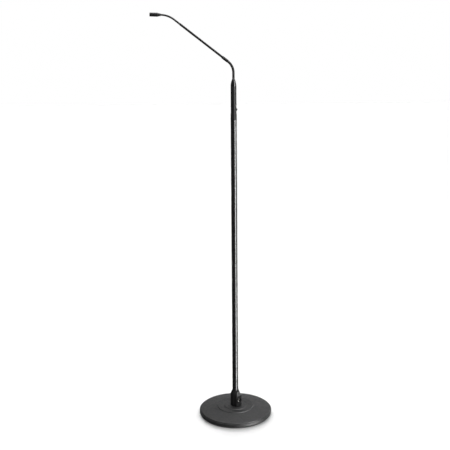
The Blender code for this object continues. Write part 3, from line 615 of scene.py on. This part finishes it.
housing = link("housing", housing_bmesh())
cutters = [
    lathe("pole_bore", flared(10.3, 61.1, 86.6, 10.75, 87.05, 92.0), 96),
    lathe("cable_way", rod(6.0, OUTLET_HEIGHT, 62.4), 32),
    lathe("outlet_bore", flared(9.7, -3.5, 19.1, 10.3, 19.8, 24.4), 96, outlet_place()),
    lathe("bolt_hole", rod(5.2, 25.3, 38.6), 32),
]
for azimuth in SCREW_AZIMUTHS:
    hole = flared(2.8, 8.0, 15.2, 3.4, 15.9, 20.0)
    cutters.append(lathe("screw_hole", hole, 40, radial_place(azimuth, POLE_SCREW_HEIGHT)))
sideways = outlet_place(13.2) @ Matrix.Rotation(math.radians(90.0), 4, "X")
cutters.append(lathe("outlet_screw_hole", rod(1.6, 7.0, 16.4), 32, sideways))
combine(housing, "DIFFERENCE", *cutters)
finish(housing, "stand", "housing_black", ["connector_housing"], sharp=30.0)

plate_reach = ramp(BADGE_MIDDLE, SNOUT_TOP, HOUSING_TOP, SNOUT_REACH, SNOUT_NECK_REACH)
plate_lean = math.atan2(SNOUT_REACH - SNOUT_NECK_REACH, HOUSING_TOP - SNOUT_TOP)
plate_place = outlet_place(plate_reach + 0.45, 0.0, BADGE_MIDDLE) @ Matrix.Rotation(plate_lean, 4, "Y")


def plate(name, half_height, low_half_width, high_half_width, corner, levels):
    """A tapered plate with rounded corners, stacked from (inset, height) levels."""
    steps = 8
    bm = bmesh.new()
    rings = []
    for inset, height in levels:
        ring = []
        for index, (sx, sy) in enumerate(((1, 1), (-1, 1), (-1, -1), (1, -1))):
            half_width = high_half_width if sx > 0 else low_half_width
            centre = Vector((sx * (half_height - corner), sy * (half_width - corner)))
            for step in range(steps + 1):
                angle = math.radians(90.0 * index + 90.0 * step / steps)
                radius = corner - inset
                x = centre.x + radius * math.cos(angle)
                y = centre.y + radius * math.sin(angle)
                ring.append(bm.verts.new(Vector((x, y, height)) * MM))
        rings.append(ring)
    skin(bm, rings)
    bm.transform(plate_place)
    return link(name, bm)


badge_levels = [(0.0, 0.0), (0.0, 0.55), (0.1, 0.72), (0.3, 0.8), (0.8, 0.8), (1.0, 0.5)]
finish(plate("blank_badge", 6.3, 10.0, 6.4, 1.8, badge_levels), "stand", "badge_grey", ["housing_badge"])

shell = [
    (9.4, 3.6),
    (9.4, 19.9, 0.2),
    (10.8, 19.9, 0.3),
    (10.8, FLANGE_FACE, 0.5),
    (9.2, FLANGE_FACE, 0.3),
    (RECESS_R, 19.7, 0.3),
    (RECESS_R, 3.6),
]
outlet = lathe("outlet_ring", rounded(shell, 0.2, 5), 96, outlet_place())
notch = block("notch", (7.0, -1.6, 12.0), (9.0, 1.6, 24.0), outlet_place())
combine(outlet, "DIFFERENCE", notch)
finish(outlet, "stand", "connector_black", ["outlet_shell"])


def contact_offsets():
    """The three contact centres in the connector's own plane."""
    turns = [math.radians(turn) for turn in CONTACT_TURNS]
    return [(CONTACT_CIRCLE_R * math.cos(a), CONTACT_CIRCLE_R * math.sin(a)) for a in turns]


insert = lathe("outlet_insert", rounded(rod(7.9, 3.6, 6.6), 0.3, 3), 72, outlet_place())
ridge = block("key_ridge", (-8.0, -1.1, 5.0), (-6.6, 1.1, 13.5), outlet_place(), 0.25, 2)
combine(insert, "UNION", ridge)
finish(insert, "stand", "insulator_black", ["outlet_insulator"])

pin_outline = [(0, 2.6), (1.15, 2.6), (1.15, 16.4), (1.05, 17.1), (0.8, 17.65), (0.45, 17.93), (0, 18.0)]
for index, (x, y) in enumerate(contact_offsets(), 1):
    pin = lathe(f"outlet_contact_{index}", pin_outline, 32, outlet_place(0.0, -x, OUTLET_HEIGHT + y))
    finish(pin, "stand", "contact_silver", [f"outlet_pin_{index}"])


def grub_screw(name, radius, bottom, top, place, key_r):
    """A headless screw with a hexagonal socket."""
    outline = [(0, bottom), (radius, bottom), (radius, top - 0.3, 0.2), (radius - 0.35, top), (0, top)]
    screw = lathe(name, rounded(outline, 0.15, 3), 40, place)
    return combine(screw, "DIFFERENCE", lathe("key", rod(key_r, top - radius, top + 1.0), 6, place))


for index, azimuth in enumerate(SCREW_AZIMUTHS, 1):
    place = radial_place(azimuth, POLE_SCREW_HEIGHT)
    screw = grub_screw(f"pole_grub_{index}", 2.5, 10.3, 13.8, place, 1.3)
    finish(screw, "stand", "screw_black", [f"pole_screw_{index}"])
screw = grub_screw("outlet_grub", 1.3, 9.7, 12.9, sideways, 0.7)
finish(screw, "stand", "screw_black", ["outlet_screw"])


# ---------------------------------------------------------------- pole, collar and socket

POLE_BOTTOM = 61.4
POLE_TOP = 1024.6
COLLAR_TOP = 1044.5
SOCKET_TOP = 1063.8
NOSE_TOP = 1077.8
LEVER_HALF_WIDTH = 2.4

pole = [(8.5, POLE_BOTTOM), (10.0, POLE_BOTTOM), (10.0, POLE_TOP, 0.25), (8.5, POLE_TOP)]
finish(lathe("pole", rounded(pole, 0.25, 3), 96), "stand", "pole_black", ["pole_tube"])

collar = [
    (8.2, 1004.6),
    (8.2, 1024.9),
    (10.0, 1024.9, 0.35),
    (10.0, 1027.2, 0.2),
    (9.6, 1027.5, 0.15),
    (9.6, 1028.1, 0.15),
    (10.0, 1028.4, 0.2),
    (10.0, 1041.4, 0.2),
    (9.7, 1041.7, 0.15),
    (9.7, 1042.1, 0.15),
    (10.0, 1042.4, 0.2),
    (10.0, COLLAR_TOP, 0.5),
    (7.8, COLLAR_TOP, 0.2),
    (7.8, 1030.0),
    (5.2, 1030.0),
    (5.2, 1004.6),
]
collar_obj = lathe("collar", rounded(collar, 0.3, 4), 96)
collar_screw_place = radial_place(180.0, 1034.6)
hole = lathe("collar_hole", flared(1.8, 6.0, 9.6, 2.2, 10.2, 12.0), 40, collar_screw_place)
combine(collar_obj, "DIFFERENCE", hole)
finish(collar_obj, "stand", "connector_black", ["top_collar"])
screw = grub_screw("collar_grub", 1.5, 7.9, 9.9, collar_screw_place, 0.8)
finish(screw, "stand", "screw_black", ["collar_screw"])

socket = [
    (7.5, 1031.0),
    (7.5, COLLAR_TOP + 0.3),
    (9.2, COLLAR_TOP + 0.3, 0.3),
    (9.2, 1047.0, 0.15),
    (9.0, 1047.2, 0.1),
    (9.0, 1047.6, 0.1),
    (9.2, 1047.8, 0.15),
    (9.2, SOCKET_TOP, 0.35),
    (7.9, SOCKET_TOP, 0.1),
    (7.9, NOSE_TOP, 0.6),
    (6.6, NOSE_TOP, 0.2),
    (6.6, 1031.0),
]
socket_obj = lathe("socket", rounded(socket, 0.3, 4), 96)
combine(socket_obj, "DIFFERENCE", block("slot", (5.5, -2.9, 1049.4), (13.0, 2.9, 1075.2), None, 0.35, 3))
finish(socket_obj, "stand", "connector_black", ["socket_shell"])

insulator = lathe("socket_insert", rounded(rod(6.3, 1040.0, 1077.5), 0.4, 3), 72)
cutters = [block("relief", (3.9, -2.9, 1049.0), (9.0, 2.9, 1075.6))]
for x, y in contact_offsets():
    hole = flared(1.9, 1038.0, 1076.9, 2.3, 1077.6, 1080.0)
    cutters.append(lathe("contact_hole", hole, 32, Matrix.Translation(Vector((x, y, 0.0)) * MM)))
combine(insulator, "DIFFERENCE", *cutters)
finish(insulator, "stand", "insulator_black", ["socket_insulator"])

lever = [
    (6.3, 1049.9),
    (8.4, 1049.9),
    (8.9, 1050.6),
    (8.9, 1053.2),
    (10.0, 1053.7),
    (10.7, 1054.3),
    (11.2, 1055.0),
    (11.0, 1055.4),
    (11.5, 1055.9),
    (11.75, 1056.5),
    (11.45, 1056.9),
    (11.85, 1057.5),
    (11.9, 1058.1),
    (11.55, 1058.5),
    (11.75, 1059.1),
    (11.6, 1059.7),
    (11.0, 1060.4),
    (10.0, 1061.1),
    (8.9, 1061.6),
    (8.8, 1062.6),
    (7.7, 1063.0),
    (7.7, 1070.6),
    (7.85, 1071.4),
    (7.85, 1072.8),
    (7.2, 1074.4),
    (6.3, 1074.4),
]
bm = bmesh.new()
verts = [bm.verts.new(Vector((x, -LEVER_HALF_WIDTH, z)) * MM) for x, z in lever]
extruded = bmesh.ops.extrude_face_region(bm, geom=[bm.faces.new(verts)])
moved = [item for item in extruded["geom"] if isinstance(item, bmesh.types.BMVert)]
bmesh.ops.translate(bm, verts=moved, vec=(0.0, 2 * LEVER_HALF_WIDTH * MM, 0.0))
rims = [edge for edge in bm.edges if abs(edge.verts[0].co.y - edge.verts[1].co.y) < 1e-6]
bmesh.ops.bevel(bm, geom=rims, offset=0.12 * MM, segments=2, affect="EDGES", profile=0.5)
finish(link("latch_lever", bm), "latch", "latch_black", ["push_latch"], sharp=30.0)


# ---------------------------------------------------------------- microphone plug

PLUG_BOTTOM = 1064.1
PLUG_TOP = 1131.6
NECK_TOP = 1154.0

sleeve = [
    (9.3, PLUG_BOTTOM, 0.35),
    (9.3, 1068.2, 0.15),
    (9.05, 1068.5, 0.1),
    (9.05, 1069.1, 0.1),
    (9.3, 1069.4, 0.15),
    (9.3, 1126.2, 0.15),
    (9.1, 1126.5, 0.1),
    (9.1, 1126.9, 0.1),
    (9.3, 1127.2, 0.15),
    (9.3, PLUG_TOP, 0.4),
    (8.2, PLUG_TOP, 0.1),
    (8.2, PLUG_BOTTOM, 0.2),
]
sleeve_obj = lathe("plug_barrel", rounded(sleeve, 0.3, 4), 96)
plug_screw_place = radial_place(180.0, 1081.6)
hole = lathe("barrel_hole", flared(1.4, 6.5, 8.9, 1.75, 9.4, 12.0), 40, plug_screw_place)
combine(sleeve_obj, "DIFFERENCE", hole)
finish(sleeve_obj, "plug", "connector_black", ["plug_sleeve"])
screw = grub_screw("plug_grub", 1.1, 8.1, 9.2, plug_screw_place, 0.6)
finish(screw, "plug", "screw_black", ["plug_screw"])

neck = [
    (7.9, 1119.6),
    (7.9, 1131.9),
    (9.2, 1131.9, 0.3),
    (9.3, 1133.2),
    (9.15, 1136.0, 6.0),
    (8.5, 1140.6, 12.0),
    (7.2, 1146.2, 14.0),
    (5.9, 1150.6, 8.0),
    (5.3, 1152.4, 0.6),
    (5.3, 1152.9, 0.2),
    (5.0, NECK_TOP, 0.5),
    (4.3, NECK_TOP, 0.1),
    (4.3, 1142.0),
    (2.0, 1141.0),
    (2.0, 1119.6),
]
finish(lathe("cone_neck", rounded(neck, 0.3, 6), 96), "plug", "neck_gloss", ["plug_neck"])


# ---------------------------------------------------------------- arm centreline

LOWER_STRAIGHT = 20.8
LOWER_BEND_R = 44.0
LOWER_BEND_DEG = 52.16
FERRULE_LENGTH = 23.8
TUBE_LENGTH = 167.9
UPPER_STRAIGHT = 21.6
UPPER_BEND_R = 72.0
UPPER_BEND_DEG = 35.74
HEAD_LENGTH = 35.3
HINGES = 6

LOWER_END = LOWER_STRAIGHT + LOWER_BEND_R * math.radians(LOWER_BEND_DEG)
TUBE_END = LOWER_END + FERRULE_LENGTH + TUBE_LENGTH
UPPER_END = TUBE_END + UPPER_STRAIGHT + UPPER_BEND_R * math.radians(UPPER_BEND_DEG)
ARM_SECTIONS = (
    (LOWER_STRAIGHT, 0.0),
    (LOWER_END - LOWER_STRAIGHT, LOWER_BEND_DEG),
    (TUBE_END + UPPER_STRAIGHT - LOWER_END, 0.0),
    (UPPER_END - TUBE_END - UPPER_STRAIGHT, UPPER_BEND_DEG),
    (HEAD_LENGTH * 2, 0.0),
)


def arm_frame(s):
    """World frame of the arm's centreline at s, its Z along the arm and its Y along +Y."""
    x, z, heading = 0.0, NECK_TOP, 0.0
    left = s
    for length, turn_deg in ARM_SECTIONS:
        run = left if left < 0 else min(left, length)
        if turn_deg == 0.0:
            x -= run * math.sin(heading)
            z += run * math.cos(heading)
        else:
            radius = length / math.radians(turn_deg)
            after = heading + run / radius
            x -= radius * (math.cos(heading) - math.cos(after))
            z += radius * (math.sin(after) - math.sin(heading))
            heading = after
        left -= run
        if left <= 0:
            break
    return Matrix.Translation(Vector((x, 0.0, z)) * MM) @ Matrix.Rotation(-heading, 4, "Y")


# ---------------------------------------------------------------- goosenecks


def wound_tube(name, start, end, radius, wire, depth, steps):
    """A length of tube wound from round wire, whose turns show as a helical ridge."""
    per_turn = 8
    count = max(2, round((end - start) / wire * per_turn))
    bm = bmesh.new()
    rings = []
    for index in range(count + 1):
        s = start + (end - start) * index / count
        place = arm_frame(s)
        ring = []
        for step in range(steps):
            angle = math.tau * step / steps
            phase = (s / wire - angle / math.tau) % 1.0
            crown = math.sqrt(max(0.0, 1.0 - (2.0 * phase - 1.0) ** 2))
            r = (radius - depth * (1.0 - crown)) * MM
            ring.append(bm.verts.new(place @ Vector((r * math.cos(angle), r * math.sin(angle), 0.0))))
        rings.append(ring)
    skin(bm, rings)
    return link(name, bm)


def gooseneck(label, start, end, bodies, radius, wire, depth, tail, steps, overlap):
    """A wound tube in seven lengths, one on each body, cut at the hinges and run on a little past them."""
    pitch = (end - start) / HINGES
    cuts = [start + (index + 0.5) * pitch for index in range(HINGES)]
    lows = [start - tail] + [cut - overlap for cut in cuts]
    highs = [cut + overlap for cut in cuts] + [end + tail]
    for index, (body, low, high) in enumerate(zip(bodies, lows, highs)):
        piece = wound_tube(f"{label}_winding_{index}", low, high, radius, wire, depth, steps)
        finish(piece, body, "gooseneck_black", [f"{label}_neck_{index}"], sharp=60.0)


lower_bodies = ["plug", "lower_1", "lower_2", "lower_3", "lower_4", "lower_5", "arm"]
upper_bodies = ["arm", "upper_1", "upper_2", "upper_3", "upper_4", "upper_5", "head"]
lower_wire = {"radius": 4.0, "wire": 1.5, "depth": 0.32, "tail": 4.0, "steps": 32, "overlap": 1.0}
upper_wire = {"radius": 3.0, "wire": 1.2, "depth": 0.26, "tail": 3.0, "steps": 28, "overlap": 0.8}
gooseneck("lower", 0.0, LOWER_END, lower_bodies, **lower_wire)
gooseneck("upper", TUBE_END, UPPER_END, upper_bodies, **upper_wire)


# ---------------------------------------------------------------- rigid arm and head

arm_place = arm_frame(LOWER_END)
ferrule = [
    (3.8, 0.0, 0.2),
    (4.6, 1.3, 0.8),
    (4.6, 17.6, 0.2),
    (4.35, 17.9, 0.1),
    (4.35, 18.5, 0.1),
    (4.6, 18.8, 0.2),
    (4.6, 21.3, 1.2),
    (4.0, 23.8, 0.3),
    (3.8, 23.8),
    (3.8, 11.0),
    (3.35, 11.0),
    (3.35, 0.0),
]
finish(lathe("ferrule", rounded(ferrule, 0.2, 4), 64, arm_place), "arm", "mic_black", ["arm_ferrule"])
tube_end = FERRULE_LENGTH + TUBE_LENGTH
tube = [(2.7, 11.3), (3.5, 11.3), (3.5, tube_end - 0.9, 0.4), (3.0, tube_end, 0.3), (2.7, tube_end)]
finish(lathe("rigid_tube", rounded(tube, 0.2, 4), 64, arm_place), "arm", "mic_black", ["arm_tube"])

HEAD_R = 6.15
head_place = arm_frame(UPPER_END)
BODY_END = 26.0
body = [
    (3.2, 0.0, 0.2),
    (3.95, 0.6, 0.5),
    (4.2, 3.0, 6.0),
    (5.0, 6.8, 10.0),
    (5.95, 10.2, 8.0),
    (HEAD_R, 12.0, 6.0),
    (HEAD_R, 15.0, 0.15),
    (HEAD_R - 0.2, 15.25, 0.1),
    (HEAD_R - 0.2, 15.65, 0.1),
    (HEAD_R, 15.9, 0.15),
    (HEAD_R, BODY_END, 0.25),
    (4.9, BODY_END),
    (4.9, 12.0),
    (2.8, 10.0),
    (2.8, 0.0),
]
finish(lathe("mic_barrel", rounded(body, 0.2, 5), 80, head_place), "head", "mic_black", ["mic_body"])

SLOTS = 16
SLOT_STEPS = 6
GRILLE_BOTTOM = BODY_END + 0.3


def grille_wall(name, heights, open_rows):
    """The grille's wall as a thin shell, its windows left out of a regular grid."""
    steps = SLOTS * SLOT_STEPS
    bm = bmesh.new()
    rings = []
    for height, radius in heights:
        rings.append(circle(bm, radius, height, steps))
    for row, (low, high) in enumerate(zip(rings, rings[1:])):
        for step in range(steps):
            window = row in open_rows and step % SLOT_STEPS < SLOT_STEPS - 2
            if window:
                continue
            after = (step + 1) % steps
            bm.faces.new((low[step], low[after], high[after], high[step]))
    bm.transform(head_place)
    loose = [vert for vert in bm.verts if not vert.link_faces]
    bmesh.ops.delete(bm, geom=loose, context="VERTS")
    obj = link(name, bm)
    wall = obj.modifiers.new("wall", "SOLIDIFY")
    wall.thickness = 0.7 * MM
    wall.offset = -1.0
    return apply_modifiers(obj)


wall_rows = [
    (GRILLE_BOTTOM, HEAD_R - 0.25),
    (GRILLE_BOTTOM + 0.12, HEAD_R - 0.07),
    (GRILLE_BOTTOM + 0.3, HEAD_R),
    (GRILLE_BOTTOM + 0.9, HEAD_R),
    (GRILLE_BOTTOM + 1.3, HEAD_R),
    (GRILLE_BOTTOM + 2.9, HEAD_R),
    (GRILLE_BOTTOM + 3.3, HEAD_R),
    (GRILLE_BOTTOM + 4.3, HEAD_R),
    (GRILLE_BOTTOM + 4.5, HEAD_R - 0.1),
    (GRILLE_BOTTOM + 4.7, HEAD_R - 0.45),
    (GRILLE_BOTTOM + 5.3, HEAD_R - 0.45),
    (GRILLE_BOTTOM + 5.5, HEAD_R - 0.1),
    (GRILLE_BOTTOM + 5.7, HEAD_R),
    (HEAD_LENGTH - 1.0, HEAD_R),
    (HEAD_LENGTH - 0.5, HEAD_R - 0.12),
    (HEAD_LENGTH - 0.15, HEAD_R - 0.45),
    (HEAD_LENGTH, HEAD_R - 0.95),
    (HEAD_LENGTH, HEAD_R - 1.6),
    (HEAD_LENGTH - 0.35, HEAD_R - 1.75),
]
finish(grille_wall("grille", wall_rows, (4,)), "head", "mic_black", ["mic_grille"])


def front_screen():
    """The grille's end: a disc with rings of round holes, under the rim."""
    top = HEAD_LENGTH - 0.75
    disc = lathe("front_screen", rounded(rod(4.75, top - 0.4, top), 0.05, 2), 64, head_place)
    holes = bmesh.new()
    hole_r = 0.42 * MM
    spots = [(0.0, 0.0)]
    for ring, count in ((1.3, 6), (2.6, 12), (3.8, 18)):
        turns = [math.tau * k / count for k in range(count)]
        spots += [(ring * math.cos(turn), ring * math.sin(turn)) for turn in turns]
    sizes = {"radius1": hole_r, "radius2": hole_r, "depth": 2.0 * MM}
    for x, y in spots:
        place = head_place @ Matrix.Translation(Vector((x, y, top - 0.2)) * MM)
        bmesh.ops.create_cone(holes, cap_ends=True, segments=14, matrix=place, **sizes)
    return combine(disc, "DIFFERENCE", link("screen_holes", holes))


finish(front_screen(), "head", "mic_black")
gauze_low, gauze_high = GRILLE_BOTTOM + 0.4, HEAD_LENGTH - 1.9
gauze = [(5.0, gauze_low), (5.3, gauze_low), (5.3, gauze_high), (5.0, gauze_high)]
finish(lathe("gauze", gauze, 72, head_place), "head", "mic_black", look=MESH)


# ---------------------------------------------------------------- floor and light

FLOOR_HALF = 12.0

bm = bmesh.new()
corners = [(-1, -1), (1, -1), (1, 1), (-1, 1)]
bm.faces.new([bm.verts.new((x * FLOOR_HALF, y * FLOOR_HALF, 0.0)) for x, y in corners])
floor = link("floor", bm)
FLOOR = Look("pale_floor", (0.86, 0.86, 0.86), 0.9)
FLOOR.mottle((0.88, 0.88, 0.88), 3.0)
floor.data.materials.append(FLOOR.mat)
floor.visible_shadow = False
floor.visible_glossy = False


def softbox(name, place, aim, width, height, power):
    """A rectangular soft light that points at a place."""
    data = bpy.data.lights.new(name, "AREA")
    data.shape = "RECTANGLE"
    data.size = width
    data.size_y = height
    data.energy = power
    lamp = bpy.data.objects.new(name, data)
    bpy.context.scene.collection.objects.link(lamp)
    lamp.location = place
    lamp.rotation_euler = (Vector(aim) - Vector(place)).to_track_quat("-Z", "Y").to_euler()
    lamp.visible_camera = False
    lamp.visible_diffuse = False
    return lamp


def wide_sun(name, strength, angle, elevation, azimuth):
    """A broad sky light; azimuth is where it shines from, turning from +X towards +Y."""
    data = bpy.data.lights.new(name, "SUN")
    data.energy = strength
    data.angle = math.radians(angle)
    lamp = bpy.data.objects.new(name, data)
    bpy.context.scene.collection.objects.link(lamp)
    lamp.rotation_euler = (0.0, math.radians(90.0 - elevation), math.radians(azimuth))
    lamp.visible_glossy = False
    return lamp


wide_sun("overhead", 2.1, 150.0, 84.0, 60.0)
wide_sun("back_sky", 4.0, 56.0, 22.0, 94.0)
softbox("right_strip", (1.68, -1.42, 0.55), (0.0, 0.0, 0.55), 0.75, 3.4, 230.0)
softbox("edge_strip", (1.5, 1.5, 0.65), (0.0, 0.0, 0.65), 0.7, 3.0, 22.0)
softbox("top_box", (0.2, -0.1, 2.7), (0.0, 0.0, 0.0), 2.4, 2.4, 130.0)
softbox("side_box", (2.3, 0.7, 1.8), (0.0, 0.0, 0.1), 1.3, 1.0, 20.0)
softbox("back_low", (0.3, 3.2, 0.4), (0.0, 0.0, 0.2), 4.0, 0.7, 8.0)

world = bpy.data.worlds.new("studio")
bpy.context.scene.world = world
world.use_nodes = True
nodes, links = world.node_tree.nodes, world.node_tree.links
background = nodes["Background"]
direction = nodes.new("ShaderNodeSeparateXYZ")
links.new(nodes.new("ShaderNodeTexCoord").outputs["Generated"], direction.inputs["Vector"])
side_light = nodes.new("ShaderNodeMapRange")
for key, number in (("From Min", -0.2), ("From Max", 0.9), ("To Min", 0.04), ("To Max", 0.11)):
    side_light.inputs[key].default_value = number
links.new(direction.outputs["X"], side_light.inputs["Value"])
seen = nodes.new("ShaderNodeLightPath").outputs["Is Camera Ray"]
strength = nodes.new("ShaderNodeMix")
links.new(seen, strength.inputs[0])
links.new(side_light.outputs["Result"], strength.inputs[2])
strength.inputs[3].default_value = 1.0
background.inputs["Color"].default_value = (1.0, 1.0, 1.0, 1.0)
links.new(strength.outputs[0], background.inputs["Strength"])
